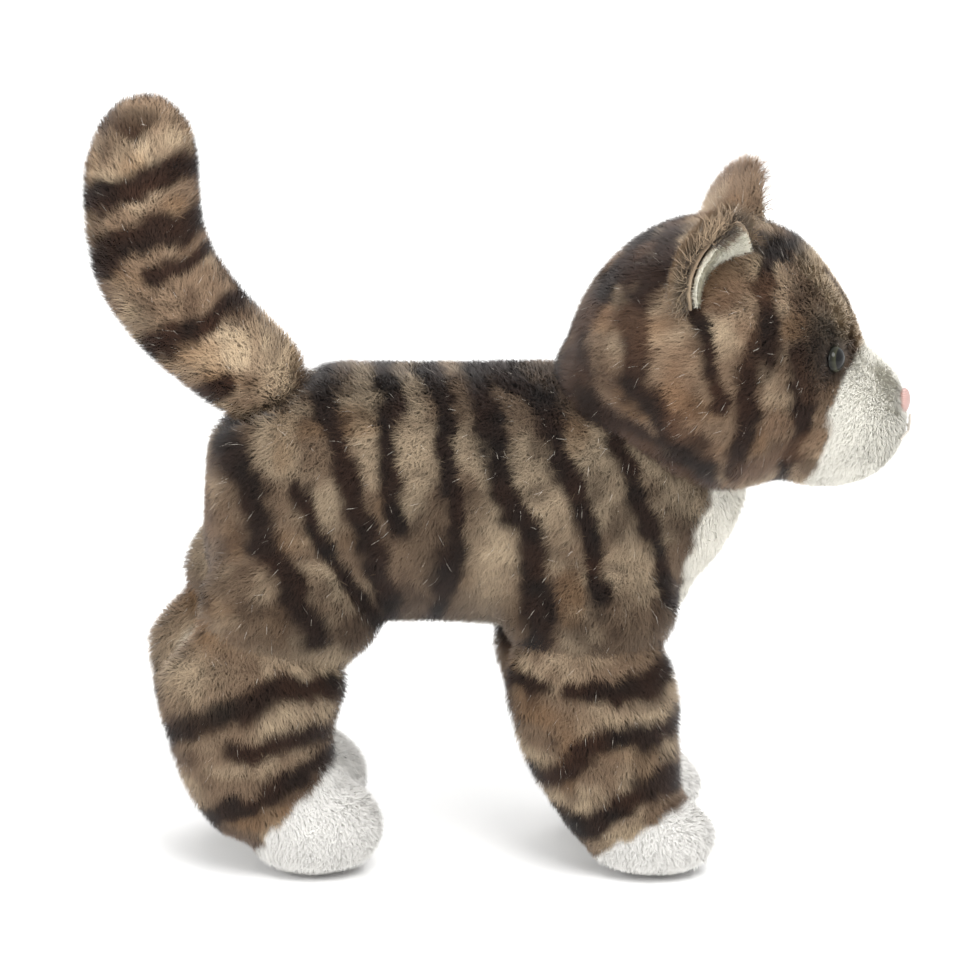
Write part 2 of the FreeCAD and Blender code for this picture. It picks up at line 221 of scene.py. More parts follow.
def tabby(points, stripes, turned=False, thin=1.0):
    """Tabby colours at points, before any white patches."""
    flat, p = side_view(points, turned)
    blotch = noise(points, 16 * MM, 21)
    fleck = noise(points, 5 * MM, 22)
    paleness = smooth(blotch * 0.7 + fleck * 0.3, 0.42, 0.78) * 0.8
    colour = mix(np.tile(TAUPE, (len(points), 1)), CREAM, paleness)
    colour = mix(colour, TAN, smooth(noise(points, 13 * MM, 23), 0.64, 0.85) * 0.4)
    dark = mix(np.tile(DARK, (len(points), 1)), DARK_WARM, noise(points, 7 * MM, 24))
    weight = stripe_weight(points, flat, [(half * thin, line) for half, line in stripes])
    faint = smooth(noise(points, 7 * MM, 25), 0.50, 0.80) * 0.5
    colour = mix(colour, DARK_WARM, faint)
    return mix(colour, dark, weight), flat, p


def body_colour(points):
    """Striped, with a pale patch on the ribs and a white bib and belly."""
    colour, flat, p = tabby(points, BODY_STRIPES)
    # Painted shade, with random tone: the body's tabby is coloured darker all over than the same plush on the
    # head and tail, as the body lies in more shade, and broad random patches vary how much.
    colour = colour * (0.60 + 0.24 * smooth(noise(points, 20 * MM, 32), 0.3, 0.7))[:, None]
    cream = np.exp(-(flat[:, 0] / 10) ** 2 - ((flat[:, 1] - 117) / 15) ** 2)
    cream *= 1 - stripe_weight(points, flat, BODY_STRIPES)
    colour = mix(colour, CREAM, cream * 0.6)
    bib_edge = 64.5 + (flat[:, 1] - 102) * 0.31 + (noise(points, 5 * MM, 31) - 0.5) * 3
    bib = smooth(flat[:, 0] - bib_edge, -1.2, 1.2) * smooth(p[:, 0], 58, 62)
    bib *= 1 - smooth(np.abs(p[:, 1]) - 23 - np.maximum(p[:, 2] - 95, 0) * 0.5, 0, 3)
    belly = (1 - smooth(np.abs(p[:, 1]), 11, 15)) * (1 - smooth(p[:, 2], 94, 99))
    return mix(colour, BIB, np.maximum(bib, belly * 0.9))


def face_marks(colour, points, hx, hy, hz):
    """Dark bars over the crown and dark fur round the eyes, then a pale blaze with a dark mark in it."""
    bars = np.zeros(len(points))
    for at, low in ((9.0, 222), (18.5, 224)):
        bar = 1 - smooth(np.abs(hy - at - (hz - 225) * 0.12), 1.8, 4.2)
        bars = np.maximum(bars, bar * smooth(hz, low, low + 5) * smooth(hx, 84, 92))
    colour = mix(colour, DARK, bars * 0.85)
    around_eye = np.exp(-((hy - 26) / 10) ** 2 - ((hz - 199) / 14) ** 2) * smooth(hx, 104, 111)
    colour = mix(colour, DARK, np.clip(around_eye * 1.3, 0, 0.85))
    ragged = (noise(points, 4 * MM, 33) - 0.5) * 4
    blaze = smooth(hx, 108, 116) * (1 - smooth(hy + ragged, 17, 21)) * smooth(hz + ragged, 199, 205)
    blaze *= 1 - smooth(hz, 226, 234)
    colour = mix(colour, CREAM, blaze * 0.85)
    brow = (1 - smooth(hy + ragged, 2.5, 5.0)) * smooth(hx, 108, 116)
    brow *= smooth(hz, 203, 208) * (1 - smooth(hz, 219, 223))
    colour = mix(colour, DARK_WARM, brow * 0.8)
    bridge = smooth(hx, 112, 118) * (1 - smooth(hy + ragged, 6, 10)) * (1 - smooth(hz, 200, 206))
    return mix(colour, CREAM, bridge * 0.9)


def muzzle_patch(points, flat, hx, hy, hz):
    """1 on the white of the muzzle and chin. Its rear edge is given at heights in the side view."""
    heights = (140, 148, 156, 164, 173, 183, 191, 205)
    edge = np.interp(flat[:, 1], heights, (110, 113.5, 119.5, 120.7, 121.0, 125.5, 130.2, 139))
    white = smooth(flat[:, 0] - edge + (noise(points, 4 * MM, 34) - 0.5) * 3, -1.2, 1.2)
    near_front = smooth(hx, 104, 108) * (1 - smooth(hz + hy * 0.15, 190, 197)) * (1 - smooth(hy, 26, 29))
    return np.maximum(white * (1 - smooth(hz, 196, 203)), near_front * white)


def head_colour(points):
    """Striped and a little warmer than the body, with the marks of the face and a white muzzle."""
    colour, flat, p = tabby(points, HEAD_STRIPES, True, 0.95)
    colour = mix(colour * 1.02, RUSSET, smooth(noise(points, 11 * MM, 38), 0.45, 0.8) * 0.25)
    ahead, across = straightened(p)
    face = (NECK_X + ahead, np.abs(across), p[:, 2])
    return mix(face_marks(colour, points, *face), MUZZLE, muzzle_patch(points, flat, *face))


def tail_colour(points):
    """Ringed, and paler towards the tip."""
    colour, flat, _ = tabby(points, TAIL_STRIPES)
    colour = colour * 1.3
    tip = smooth(flat[:, 1], 264, 284)
    return mix(colour, mix(np.tile(CREAM, (len(points), 1)), TAN, noise(points, 8 * MM, 35)), tip * 0.45)


def leg_colour(points, stripes, seam, down):
    """Striped as far as the paw's seam, then white, and pale on the inner side."""
    colour, flat, p = tabby(points, stripes)
    ahead = (flat - np.array(seam)) @ np.array(down)
    white = smooth(ahead + (noise(points, 4 * MM, 36) - 0.5) * 3, -1.2, 1.2)
    inner = (1 - smooth(np.abs(p[:, 1]), 17, 20)) * (1 - smooth(p[:, 2], 88, 96))
    return mix(mix(colour, BIB, inner * 0.9), WHITE, white)


def hind_colour(points):
    """A hind leg, with a tan patch on the thigh and a pale one below it."""
    colour = leg_colour(points, HIND_STRIPES, (-58.4, 46), (0.78, -0.62))
    flat, _ = side_view(points)
    tan = np.exp(-((flat[:, 0] + 108) / 14) ** 2 - ((flat[:, 1] - 94) / 9) ** 2)
    pale = np.exp(-((flat[:, 0] + 112) / 12) ** 2 - ((flat[:, 1] - 74) / 8) ** 2)
    return mix(mix(colour, TAN, tan * 0.7), CREAM, pale * 0.6)


def front_colour(points):
    return leg_colour(points, FRONT_STRIPES, (55, 19), (0.52, -0.85))


def ear_colour(points):
    """The ears' backs, paler on the cat's right."""
    colour, flat, p = tabby(points, EAR_STRIPES)
    near = smooth(-p[:, 1], 0, 8)[:, None] * 0.6
    return colour * 1.15 * (1 - near) + (CREAM * 0.6 + TAUPE * 0.5) * near


def lining_colour(points):
    return mix(np.tile(LINING, (len(points), 1)), CREAM, noise(points, 6 * MM, 37) * 0.3)


# ------------------------------------------------------------------ materials


def new_material(name):
    """A fresh material with its node tree and shader."""
    material = bpy.data.materials.new(name)
    material.use_nodes = True
    tree = material.node_tree
    return material, tree, tree.nodes["Principled BSDF"]


def pile_material(name, bump=0.0):
    """Pile fabric: its colour is in the mesh, with fine flecks and a soft sheen."""
    material, tree, shader = new_material(name)
    colour = tree.nodes.new("ShaderNodeAttribute")
    colour.attribute_name = "Col"
    flecks = tree.nodes.new("ShaderNodeTexNoise")
    flecks.inputs["Scale"].default_value = 900
    ramp = tree.nodes.new("ShaderNodeMapRange")
    ramp.inputs["To Min"].default_value = 0.86
    ramp.inputs["To Max"].default_value = 1.14
    tree.links.new(flecks.outputs["Fac"], ramp.inputs["Value"])
    shade = tree.nodes.new("ShaderNodeVectorMath")
    shade.operation = "SCALE"
    tree.links.new(colour.outputs["Color"], shade.inputs[0])
    tree.links.new(ramp.outputs["Result"], shade.inputs["Scale"])
    tree.links.new(shade.outputs["Vector"], shader.inputs["Base Color"])
    shader.inputs["Roughness"].default_value = 0.72
    shader.inputs["Specular IOR Level"].default_value = 0.25
    shader.inputs["Sheen Weight"].default_value = 0.12
    shader.inputs["Sheen Roughness"].default_value = 0.5
    if bump:
        relief = tree.nodes.new("ShaderNodeBump")
        relief.inputs["Strength"].default_value = bump
        relief.inputs["Distance"].default_value = 0.001
        tree.links.new(flecks.outputs["Fac"], relief.inputs["Height"])
        tree.links.new(relief.outputs["Normal"], shader.inputs["Normal"])
    return material


def thread_material(name, colour, scale, direction):
    """Satin thread: fine parallel strands in relief, with painted shade between them."""
    material, tree, shader = new_material(name)
    wave = tree.nodes.new("ShaderNodeTexWave")
    wave.bands_direction = direction
    wave.inputs["Scale"].default_value = scale
    wave.inputs["Distortion"].default_value = 1.5
    ramp = tree.nodes.new("ShaderNodeValToRGB")
    # Painted shade: the low parts of the relief, between the strands, are coloured darker.
    ramp.color_ramp.elements[0].color = (*colour * 0.62, 1)
    ramp.color_ramp.elements[1].color = (*colour, 1)
    coords = tree.nodes.new("ShaderNodeTexCoord")
    tree.links.new(coords.outputs["Object"], wave.inputs["Vector"])
    tree.links.new(wave.outputs["Fac"], ramp.inputs["Fac"])
    tree.links.new(ramp.outputs["Color"], shader.inputs["Base Color"])
    relief = tree.nodes.new("ShaderNodeBump")
    relief.inputs["Strength"].default_value = 0.5
    relief.inputs["Distance"].default_value = 0.0003
    tree.links.new(wave.outputs["Fac"], relief.inputs["Height"])
    tree.links.new(relief.outputs["Normal"], shader.inputs["Normal"])
    shader.inputs["Roughness"].default_value = 0.45
    return material


def eye_material(name, centre, axis):
    """Clear gloss over a black pupil with a narrow grey-green iris round its edge."""
    material, tree, shader = new_material(name)
    coords = tree.nodes.new("ShaderNodeTexCoord")
    offset = tree.nodes.new("ShaderNodeVectorMath")
    offset.operation = "SUBTRACT"
    offset.inputs[1].default_value = centre
    tree.links.new(coords.outputs["Object"], offset.inputs[0])
    cross = tree.nodes.new("ShaderNodeVectorMath")
    cross.operation = "CROSS_PRODUCT"
    cross.inputs[1].default_value = axis
    tree.links.new(offset.outputs["Vector"], cross.inputs[0])
    length = tree.nodes.new("ShaderNodeVectorMath")
    length.operation = "LENGTH"
    tree.links.new(cross.outputs["Vector"], length.inputs[0])
    scaled = tree.nodes.new("ShaderNodeMapRange")
    scaled.inputs["From Max"].default_value = EYE_RADIUS
    tree.links.new(length.outputs["Value"], scaled.inputs["Value"])
    ramp = tree.nodes.new("ShaderNodeValToRGB")
    stops = ramp.color_ramp.elements
    stops[0].color = (0.004, 0.004, 0.004, 1)
    stops[0].position = 0.78
    stops[1].color = (0.008, 0.008, 0.006, 1)
    stops[1].position = 0.99
    middle = stops.new(0.84)
    middle.color = (0.035, 0.035, 0.02, 1)
    outer = stops.new(0.93)
    outer.color = (0.02, 0.02, 0.012, 1)
    tree.links.new(scaled.outputs["Result"], ramp.inputs["Fac"])
    tree.links.new(ramp.outputs["Color"], shader.inputs["Base Color"])
    shader.inputs["Roughness"].default_value = 0.12
    shader.inputs["Specular IOR Level"].default_value = 0.22
    return material


def plain_material(name, colour, roughness, scale, spread):
    """An even colour that noise darkens by up to spread."""
    material, tree, shader = new_material(name)
    grain = tree.nodes.new("ShaderNodeTexNoise")
    grain.inputs["Scale"].default_value = scale
    ramp = tree.nodes.new("ShaderNodeValToRGB")
    ramp.color_ramp.elements[0].color = (*np.array(colour) * (1 - spread), 1)
    ramp.color_ramp.elements[1].color = (*np.array(colour), 1)
    tree.links.new(grain.outputs["Fac"], ramp.inputs["Fac"])
    tree.links.new(ramp.outputs["Color"], shader.inputs["Base Color"])
    shader.inputs["Roughness"].default_value = roughness
    return material


PILE = pile_material("pile_strands")
BACKING = pile_material("pile_backing", 0.6)
SHORT_PILE = pile_material("short_pile", 0.3)
FIBRE = plain_material("packed_fibre", (0.8, 0.8, 0.77), 0.9, 300, 0.25)


# ------------------------------------------------------------------ skins


def add_object(name, mesh):
    piece = bpy.data.objects.new(name, mesh)
    bpy.context.scene.collection.objects.link(piece)
    return piece


def joined(name, nodes, extras=()):
    """The CAD meshes of nodes, and ellipsoids as (centre, radii), in one new object."""
    bm = bmesh.new()
    for node in nodes:
        bm.from_mesh(NODES[node].data)
    for centre, radii in extras:
        place = Matrix.Translation(centre) @ Matrix.Diagonal((*radii, 1))
        bmesh.ops.create_uvsphere(bm, u_segments=40, v_segments=24, radius=1, matrix=place)
    mesh = bpy.data.meshes.new(name)
    bm.to_mesh(mesh)
    bm.free()
    return add_object(name, mesh)


def evaluated(piece):
    """Applies every modifier on the piece."""
    graph = bpy.context.evaluated_depsgraph_get()
    mesh = bpy.data.meshes.new_from_object(piece.evaluated_get(graph))
    old = piece.data
    piece.modifiers.clear()
    piece.data = mesh
    mesh.name = piece.name
    bpy.data.meshes.remove(old)


def biggest_island(mesh):
    bm = bmesh.new()
    bm.from_mesh(mesh)
    bm.verts.ensure_lookup_table()
    seen, groups = set(), []
    for vert in bm.verts:
        if vert in seen:
            continue
        group, queue = [], [vert]
        seen.add(vert)
        while queue:
            at = queue.pop()
            group.append(at)
            for edge in at.link_edges:
                other = edge.other_vert(at)
                if other not in seen:
                    seen.add(other)
                    queue.append(other)
        groups.append(group)
    keep = max(groups, key=len)
    drop = [v for group in groups if group is not keep for v in group]
    bmesh.ops.delete(bm, geom=drop, context="VERTS")
    bm.to_mesh(mesh)
    bm.free()


def coordinates(mesh):
    co = np.empty(len(mesh.vertices) * 3)
    mesh.vertices.foreach_get("co", co)
    return co.reshape(-1, 3)


def make_skin(name, nodes, inset, extras=(), voxel=4 * MM):
    """One continuous skin round the nodes, set in from their surface."""
    piece = joined(name, nodes, extras)
    remesh = piece.modifiers.new("Remesh", "REMESH")
    remesh.mode = "VOXEL"
    remesh.voxel_size = voxel
    soften = piece.modifiers.new("Smooth", "SMOOTH")
    soften.factor = 0.5
    soften.iterations = 6
    shrink = piece.modifiers.new("Shrink", "DISPLACE")
    shrink.mid_level = 0
    shrink.strength = -inset
    evaluated(piece)
    biggest_island(piece.data)
    return piece


CLOTH_FRAMES = 14
CLOTH_CAP = 1.3 * MM      # no point of a skin moves further than this


def puff(skins):
    """Stuffing pressure swells and evens every skin a little, as cloth under pressure."""
    rest = {}
    for piece in skins:
        rest[piece.name] = coordinates(piece.data)
        cloth = piece.modifiers.new("Cloth", "CLOTH")
        cloth.settings.quality = 4
        cloth.settings.use_pressure = True
        cloth.settings.uniform_pressure_force = 4
        cloth.settings.effector_weights.gravity = 0
        cloth.collision_settings.use_collision = False
        cloth.point_cache.frame_start = 1
        cloth.point_cache.frame_end = CLOTH_FRAMES
    for step in range(1, CLOTH_FRAMES + 1):
        bpy.context.scene.frame_set(step)
    for piece in skins:
        evaluated(piece)
        start = rest[piece.name]
        move = coordinates(piece.data) - start
        size = np.linalg.norm(move, axis=1, keepdims=True)
        move *= np.minimum(1, CLOTH_CAP / np.maximum(size, 1e-9))
        piece.data.vertices.foreach_set("co", (start + move).ravel())
    bpy.context.scene.frame_set(1)


def lumps(piece, height, scale, seed):
    """Low uneven swells, as hand-stuffed pieces have."""
    co = coordinates(piece.data)
    normals = np.empty(len(co) * 3)
    piece.data.vertices.foreach_get("normal", normals)
    rise = (noise(co, scale, seed) - 0.5) * 2 * height
    piece.data.vertices.foreach_set("co", (co + normals.reshape(-1, 3) * rise[:, None]).ravel())


def refine(piece):
    finer = piece.modifiers.new("Subdivision", "SUBSURF")
    finer.levels = 1
    finer.render_levels = 1
    evaluated(piece)
    piece.data.shade_smooth()


def paint(mesh, colours):
    layer = mesh.attributes.new("Col", "FLOAT_COLOR", "POINT")
    rgba = np.ones((len(mesh.vertices), 4), np.float32)
    rgba[:, :3] = colours
    layer.data.foreach_set("color", rgba.ravel())


def finish_skin(piece, colour, body, nodes):
    co = coordinates(piece.data)
    skin_colour = colour(co)
    # Painted shade under the pile: the skin is coloured darker than its fur, most where the fur is dark.
    paint(piece.data, skin_colour * (0.6 + 0.38 * smooth(skin_colour[:, 1], 0.35, 0.75))[:, None])
    piece.data.materials.clear()
    piece.data.materials.append(BACKING)
    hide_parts(*nodes)
    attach(piece, body)


# ------------------------------------------------------------------ fur


def sample(mesh, density, rng):
    """Random points on a mesh with their smooth normals, about density a square metre."""
    mesh.calc_loop_triangles()
    triangles = np.empty(len(mesh.loop_triangles) * 3, int)
    mesh.loop_triangles.foreach_get("vertices", triangles)
    triangles = triangles.reshape(-1, 3)
    co = coordinates(mesh)
    normals = np.empty(len(co) * 3)
    mesh.vertices.foreach_get("normal", normals)
    normals = normals.reshape(-1, 3)
    corners = co[triangles]
    area = np.linalg.norm(np.cross(corners[:, 1] - corners[:, 0], corners[:, 2] - corners[:, 0]), axis=1) / 2
    count = int(area.sum() * density)
    pick = np.sort(rng.choice(len(triangles), count, p=area / area.sum()))
    a, b = rng.random(count), rng.random(count)
    flip = a + b > 1
    a[flip], b[flip] = 1 - a[flip], 1 - b[flip]
    weights = np.stack((1 - a - b, a, b), axis=1)[:, :, None]
    points = (co[triangles[pick]] * weights).sum(axis=1)
    return points, unit((normals[triangles[pick]] * weights).sum(axis=1))


STRANDS_A_PIECE = 64000      # three triangles each


def strand_mesh(name, root, middle, tip, width, side, colours, root_painted_shade, normals):
    """Flat tapering strands with two joints, coloured one by one."""
    count = len(root)
    verts = np.empty((count, 5, 3))
    verts[:, 0] = root - side * width[:, None] * 0.5
    verts[:, 1] = root + side * width[:, None] * 0.5
    verts[:, 2] = middle + side * width[:, None] * 0.45
    verts[:, 3] = middle - side * width[:, None] * 0.45
    verts[:, 4] = tip
    base = np.arange(count)[:, None] * 5
    loops = (base + np.array((0, 1, 2, 3, 3, 2, 4))).ravel()
    mesh = bpy.data.meshes.new(name)
    mesh.vertices.add(count * 5)
    mesh.vertices.foreach_set("co", verts.ravel())
    mesh.loops.add(count * 7)
    mesh.loops.foreach_set("vertex_index", loops)
    mesh.polygons.add(count * 2)
    starts = (np.arange(count)[:, None] * 7 + np.array((0, 4))).ravel()
    mesh.polygons.foreach_set("loop_start", starts)
    mesh.polygons.foreach_set("loop_total", np.tile((4, 3), count))
    mesh.update(calc_edges=True)
    # Painted shade and light along each strand: its colour is darkened at the root, where shade falls between
    # the strands, and brightened at the tip.
    middle_painted_shade = 0.5 + 0.5 * root_painted_shade + 0.14 * (1 - root_painted_shade)
    tip_painted_light = 1.0 + 0.22 * (1 - root_painted_shade)
    painted_shading = np.stack((root_painted_shade, root_painted_shade, middle_painted_shade, middle_painted_shade, tip_painted_light), axis=1)
    paint(mesh, (colours[:, None, :] * painted_shading[:, :, None]).reshape(-1, 3))
    across = int(math.ceil(math.sqrt(count)))
    cell = np.stack((np.arange(count) % across, np.arange(count) // across), axis=1) / across
    quad, tip_corners = ((0.2, 0.2), (0.8, 0.2), (0.8, 0.6), (0.2, 0.6)), ((0.2, 0.6), (0.8, 0.6), (0.5, 0.8))
    corner = np.array(quad + tip_corners) / across
    layer = mesh.uv_layers.new(name="OFBake")
    layer.data.foreach_set("uv", (cell[:, None, :] + corner[None]).ravel())
    mesh.normals_split_custom_set_from_vertices(np.repeat(normals, 5, axis=0))
    return mesh


def grow_fur(name, skin, body, colour, comb, length, density, seed, lie=0.9, width=0.22 * MM,
             keep=None):
    """Strand pieces for one skin: comb gives the way the pile is brushed at each root."""
    rng = np.random.default_rng(seed)
    points, normals = sample(skin.data, density, rng)
    if keep is not None:
        chosen = keep(points, normals)
        points, normals = points[chosen], normals[chosen]
    count = len(points)
    reach = length(points) if callable(length) else np.full(count, length)
    reach = reach * rng.uniform(0.72, 1.12, count)
    swirl = np.stack([noise(points, 7 * MM, seed + k) - 0.5 for k in range(3)], axis=1)
    tuft = np.stack([noise(points, 2.6 * MM, seed + 5 + k) - 0.5 for k in range(3)], axis=1)
    way = comb(points) + swirl * 1.0 + tuft * 0.55 + rng.normal(0, 0.42, (count, 3))
    way = way - normals * (way * normals).sum(axis=1, keepdims=True)
    way = unit(way)
    lean = lie * rng.uniform(0.75, 1.2, count)[:, None]
    middle = points + unit(normals + way * lean * 0.7) * reach[:, None] * 0.5
    tip = middle + unit(normals * 0.75 + way * lean * 1.5) * reach[:, None] * 0.5
    side = unit(np.cross(way, normals) + normals * rng.normal(0, 0.25, count)[:, None])
    tint = colour(points + way * reach[:, None] * 0.25)
    pale = smooth(tint[:, 1], 0.35, 0.75)
    tint = tint * (1 + rng.uniform(-0.14, 0.14, count) * (1 - 0.75 * pale))[:, None]
    # Painted highlight: about one strand in 250 on the darker fur is coloured as a glint of light, and made
    # thinner.
    glint_strands = (rng.random(count) < 0.004) & (pale < 0.5)
    tint[glint_strands] = PAINTED_GLINT
    wide = width * rng.uniform(0.7, 1.25, count)
    wide[glint_strands] *= 0.5
    # Painted shade at each strand's root: deep on dark fur, hardly any on pale fur.
    root_painted_shade = 0.36 + 0.6 * pale
    order = np.argsort(points[:, 0])
    pieces = int(math.ceil(count / STRANDS_A_PIECE))
    for k, part in enumerate(np.array_split(order, pieces)):
        label = name if pieces == 1 else name + "_" + str(k + 1)
        root = points[part] - normals[part] * 0.4 * MM
        facing = unit(normals[part] + way[part] * 0.35)
        mesh = strand_mesh(label, root, middle[part], tip[part], wide[part], side[part], tint[part],
                           root_painted_shade[part], facing)
        mesh.materials.append(PILE)
        piece = add_object(label, mesh)
        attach(piece, body)


def outside_head(points, _normals):
    """Roots that are not buried under the head."""
    p = points / MM - ORIGIN_MM
    ahead, across = straightened(p)
    offset = np.stack((ahead, across, p[:, 2]), axis=1) - np.array(SKULL)
    return np.linalg.norm(offset / np.array(SKULL_RADII), axis=1) > BURIED


def toward(*direction):
    """A comb that brushes every root the same way."""
    return lambda points: np.tile(np.array(direction, float), (len(points), 1))


# ------------------------------------------------------------------ the cat

INSET = 2.0 * MM      # the stuffing pressure in puff makes up the rest
LEG_PARTS = ("leg_cover", "paw_cover", "leg_stuffing", "pellet_pouch")
TORSO_NODES = ("body_panel_right", "body_panel_left", "chest_bib", "belly_panel", "body_stuffing")
HEAD_NODES = ("head_panel_right", "head_panel_left", "head_crown_gusset", "muzzle_cover", "head_stuffing")
LEGS = [(where, side) for where in ("front", "hind") for side in ("right", "left")]


def leg_nodes(where, side):
    return [where + "_" + side + "_" + part for part in LEG_PARTS]


HIPS = {}
for joint in frame["joints"]:
    if joint["child"].endswith("_leg"):
        HIPS[joint["child"]] = Vector(joint["pos_m"])


def flanks():
    """Where the body's panels hang down over the top of each leg."""
    extras = []
    for leg, hip in HIPS.items():
        inward = (NECK[1] - hip.y) * 0.09
        if leg.startswith("front"):
            extras.append((hip + Vector((0, inward, 13 * MM)), Vector((32, 20, 25)) * MM))
        else:
            extras.append((hip + Vector((12 * MM, inward, 17 * MM)), Vector((34, 20, 26)) * MM))
    return extras


def tuck_top(piece, hip):
    """Draws the top of a leg in, so that the body's panel covers it."""
    co = coordinates(piece.data)
    low = hip.z - 14 * MM
    weight = smooth(co[:, 2], low, low + 22 * MM)[:, None]
    centre = np.array((hip.x, hip.y * 0.94 + NECK[1] * 0.06, hip.z))
    co += (centre - co) * weight * np.array((0.22, 0.35, 0.15))
    piece.data.vertices.foreach_set("co", co.ravel())


def build_skins():
    skins = {}
    middle = Vector(ORIGIN_MM * MM)
    chest = [(middle + Vector((50, 0, 141)) * MM, Vector((42, 38, 42)) * MM),
             (middle + Vector((40, 0, 118)) * MM, Vector((36, 30, 36)) * MM)]
    nape = [(middle + Vector((55, 0, 179)) * MM, Vector((31, 38, 24)) * MM)]
    skins["torso"] = make_skin("body_skin", TORSO_NODES, INSET, flanks() + chest)
    skins["head"] = make_skin("head_skin", HEAD_NODES + ("neck_stuffing",), INSET, nape, voxel=3.5 * MM)
    skins["tail"] = make_skin("tail_skin", ("tail_cover", "tail_stuffing", "tail_root_stuffing"), INSET)
    for where, side in LEGS:
        leg = where + "_" + side + "_leg"
        skins[leg] = make_skin(leg + "_skin", leg_nodes(where, side), INSET)
    puff(list(skins.values()))
    for leg, hip in HIPS.items():
        tuck_top(skins[leg], hip)
    for seed, piece in enumerate(skins.values()):
        lumps(piece, 1.1 * MM, 24 * MM, 60 + seed)
        refine(piece)
    return skins


skins = build_skins()
EYES = {}
for side in ("right", "left"):
    sign = -1 if side == "right" else 1
    out = EYE_OUT * sign - HEAD_TURN
    level = math.cos(EYE_UP)
    axis = np.array((math.cos(out) * level, math.sin(out) * level, math.sin(EYE_UP)))
    EYES[side] = (middle_of("eye_washer_" + side) + axis * EYE_REACH, axis)
NOSE = middle_of("nose_embroidery")


def bare_face(points, _normals):
    """Roots away from the eyes and the nose."""
    keep = np.ones(len(points), bool)
    for centre, axis in EYES.values():
        offset = points - centre
        away = np.linalg.norm(offset - (offset @ axis)[:, None] * axis, axis=1)
        keep &= (away > 4.4 * MM) | (np.abs(offset @ axis) > 12 * MM)
    offset = (points - NOSE) / np.array((9, 5.8, 3.7)) / MM
    return keep & (np.linalg.norm(offset, axis=1) > 1)


def face_length(points):
    """Shorter pile on the face, and shortest round the eyes."""
    p = points / MM - ORIGIN_MM
    reach = 7.0 - 2.6 * smooth(p[:, 0], 108, 124)
    for centre, _ in EYES.values():
        reach = reach - 2.2 * (1 - smooth(np.linalg.norm(points - centre, axis=1), 7 * MM, 13 * MM))
    return np.maximum(reach, 3.0) * MM


def face_comb(points):
    """Swept back from the nose and down over the cheeks, and away from the eyes."""
    way = points - (NOSE + np.array((10, 0, 14)) * MM)
    way = unit(way) + np.array((0, 0, -0.45))
    for centre, _ in EYES.values():
        offset = points - centre
        gap = np.linalg.norm(offset, axis=1)
        behind = smooth(-offset[:, 0], 0, 5 * MM)
        pull = (1.3 - 2.6 * behind) * (1 - smooth(gap, 6 * MM, 12 * MM))
        way = way + unit(offset) * pull[:, None]
    return way


def tail_comb(points):
    """Brushed along the tail, up and back at its root and straight up near its tip."""
    p = points / MM - ORIGIN_MM
    up = smooth(p[:, 2], 190, 232)[:, None]
    return unit(np.array((-0.75, 0, 0.65)) * (1 - up) + np.array((0.0, 0, 1.0)) * up)


def leg_length(limit):
    """Pile up to limit millimetres long on the leg, shorter on the paw and clipped at the sole."""
    def reach(points):
        p = points / MM - ORIGIN_MM
        return (limit - 2.6 * (1 - smooth(p[:, 2], 18, 44))) * np.where(p[:, 2] < 7, 0.55, 1.0) * MM
    return reach


DENSITY = 5.0e6      # strands a square metre
LEG_COLOURS = {"front": front_colour, "hind": hind_colour}

finish_skin(skins["torso"], body_colour, "torso", TORSO_NODES)
finish_skin(skins["head"], head_colour, "head", HEAD_NODES)
finish_skin(skins["tail"], tail_colour, "tail", ("tail_cover", "tail_stuffing"))
for where, side in LEGS:
    key = where + "_" + side + "_leg"
    finish_skin(skins[key], LEG_COLOURS[where], key, leg_nodes(where, side))

grow_fur("body_fur", skins["torso"], "torso", body_colour, toward(-0.45, 0, -0.8), 7.0 * MM,
         DENSITY, 101, keep=outside_head)
grow_fur("head_fur", skins["head"], "head", head_colour, face_comb, face_length,
         DENSITY * 1.15, 102, keep=bare_face)
grow_fur("tail_fur", skins["tail"], "tail", tail_colour, tail_comb, 7.5 * MM,
         DENSITY, 103, lie=0.75)
for number, (where, side) in enumerate(LEGS):
    key = where + "_" + side + "_leg"
    grow_fur(key + "_fur", skins[key], key, LEG_COLOURS[where], toward(0.1, 0, -1),
             leg_length(7.0), DENSITY, 110 + number)


def soft_core(name, node, body):
    """A ball of packed fibre inside a joint."""
    low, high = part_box(node)
    core = joined(name, (), [((low + high) / 2, (high - low) / 2 - Vector((1, 1, 1)) * MM)])
    lumps(core, 0.5 * MM, 5 * MM, 71)
    core.data.shade_smooth()
    core.data.materials.append(FIBRE)
    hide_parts(node)
    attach(core, body)


soft_core("neck_core", "neck_stuffing", "neck")
soft_core("tail_root_core", "tail_root_stuffing", "tail_root")


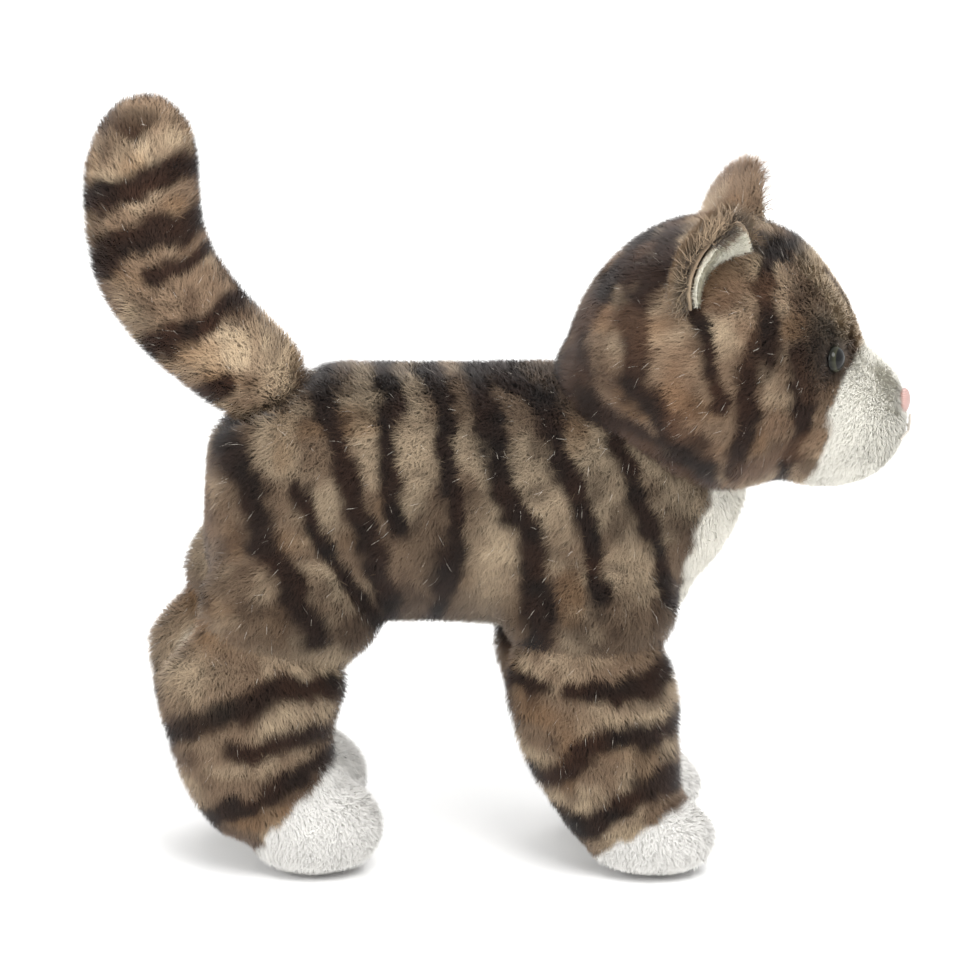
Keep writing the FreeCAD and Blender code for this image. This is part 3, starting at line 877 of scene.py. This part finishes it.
# ears: the cupped sheets of the CAD, softened, with long pile behind and a short pale pile in front
def make_ear(side):
    body = "ear_" + side
    back_node, lining_node = body + "_back", body + "_lining"
    back = make_skin(body + "_back_skin", (back_node,), 0.1 * MM, voxel=0.8 * MM)
    lining = make_skin(body + "_lining_skin", (lining_node,), 0.15 * MM, voxel=0.8 * MM)
    base = np.array(next(j["pos_m"] for j in frame["joints"] if j["child"] == body))
    back_co, lining_co = coordinates(back.data), coordinates(lining.data)
    height = np.linalg.norm(back_co - base, axis=1).max()
    facing = back_co.mean(axis=0) - lining_co.mean(axis=0)
    facing /= np.linalg.norm(facing)
    lining_co = base + (lining_co - base) * 0.86 + facing * 0.4 * MM
    lining.data.vertices.foreach_set("co", lining_co.ravel())
    for piece, node, colour, slot, material in (
        (back, back_node, ear_colour, "tabby_plush", BACKING),
        (lining, lining_node, lining_colour, "ear_lining_plush", SHORT_PILE),
    ):
        piece.data.shade_smooth()
        # Painted shade under the pile: the ear's skins are coloured a little darker than their fur.
        paint(piece.data, colour(coordinates(piece.data)) * 0.85)
        piece.data.materials.clear()
        piece.data.materials.append(material)
        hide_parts(node)
        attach(piece, body)

    def outward(points):
        return unit(points - base) + facing * 0.3

    def back_and_rim(points, normals):
        return (normals @ facing > -0.1) | (np.linalg.norm(points - base, axis=1) > 0.9 * height)

    def front(_points, normals):
        return normals @ facing < 0.1

    grow_fur(body + "_back_fur", back, body, ear_colour, outward, 9.5 * MM, DENSITY * 1.4,
             130 + len(side), lie=1.0, keep=back_and_rim)
    grow_fur(body + "_lining_fur", lining, body, lining_colour, outward, 2.0 * MM,
             DENSITY * 1.4, 140 + len(side), lie=1.2, keep=front)


make_ear("right")
make_ear("left")


# ------------------------------------------------------------------ hard pieces and threads

for side, (centre, axis) in EYES.items():
    eye = NODES["eye_" + side]
    eye.data.materials.clear()
    eye.data.materials.append(eye_material("eye_gloss_" + side, centre, axis))
    eye.data.shade_smooth()
    washer_node = NODES["eye_washer_" + side]
    washer_node.data.materials.clear()
    white_plastic = plain_material("washer_plastic_" + side, (0.8, 0.8, 0.77), 0.45, 200, 0.12)
    washer_node.data.materials.append(white_plastic)

for node, material in (
    ("nose_embroidery", thread_material("nose_thread", PINK, 520, "Z")),
    ("mouth_stitches", thread_material("mouth_thread", MOUTH, 700, "Y")),
    ("closing_seam_stitches", thread_material("seam_thread", SEAM, 700, "X")),
):
    NODES[node].data.materials.clear()
    NODES[node].data.materials.append(material)
    NODES[node].data.shade_smooth()


# ------------------------------------------------------------------ floor, light and camera


def area_light(name, place, target, size, power):
    lamp = bpy.data.lights.new(name, "AREA")
    lamp.shape = "DISK"
    lamp.size = size
    lamp.energy = power
    holder = add_object(name, lamp)
    holder.location = place
    holder.rotation_euler = (Vector(target) - Vector(place)).to_track_quat("-Z", "Y").to_euler()


def make_floor():
    bm = bmesh.new()
    bmesh.ops.create_grid(bm, x_segments=1, y_segments=1, size=12)
    mesh = bpy.data.meshes.new("floor")
    bm.to_mesh(mesh)
    bm.free()
    floor = add_object("floor", mesh)
    floor.location = (0, 0, -0.2 * MM)
    mesh.materials.append(plain_material("pale_floor", (0.97, 0.97, 0.965), 0.9, 3, 0.01))


LENS, SENSOR = 200, 36
VIEW_WIDTH = 356.5 * MM      # of the picture, at the cat's middle

make_floor()
centre = Vector((ORIGIN_MM[0] * MM - 2.9 * MM, NECK[1], 139 * MM))
area_light("key", (0.5, -1.1, 1.5), centre, 1.1, 24)
area_light("fill", (-1.2, -1.2, 0.8), centre, 1.4, 12)
area_light("back", (-0.2, 1.3, 1.3), centre, 1.2, 16)
world = bpy.data.worlds.new("studio")
world.use_nodes = True
world.node_tree.nodes["Background"].inputs["Color"].default_value = (1.0, 1.0, 1.0, 1)
world.node_tree.nodes["Background"].inputs["Strength"].default_value = 1.0
bpy.context.scene.world = world
bpy.context.scene.view_settings.view_transform = "Standard"

lens = bpy.data.cameras.new("camera")
lens.lens = LENS
lens.sensor_width = SENSOR
camera = add_object("camera", lens)
distance = LENS / SENSOR * VIEW_WIDTH
camera.location = centre + Vector((0, -math.cos(VIEW_TILT), math.sin(VIEW_TILT))) * distance
camera.rotation_euler = (math.pi / 2 - VIEW_TILT, 0, 0)
bpy.context.scene.camera = camera
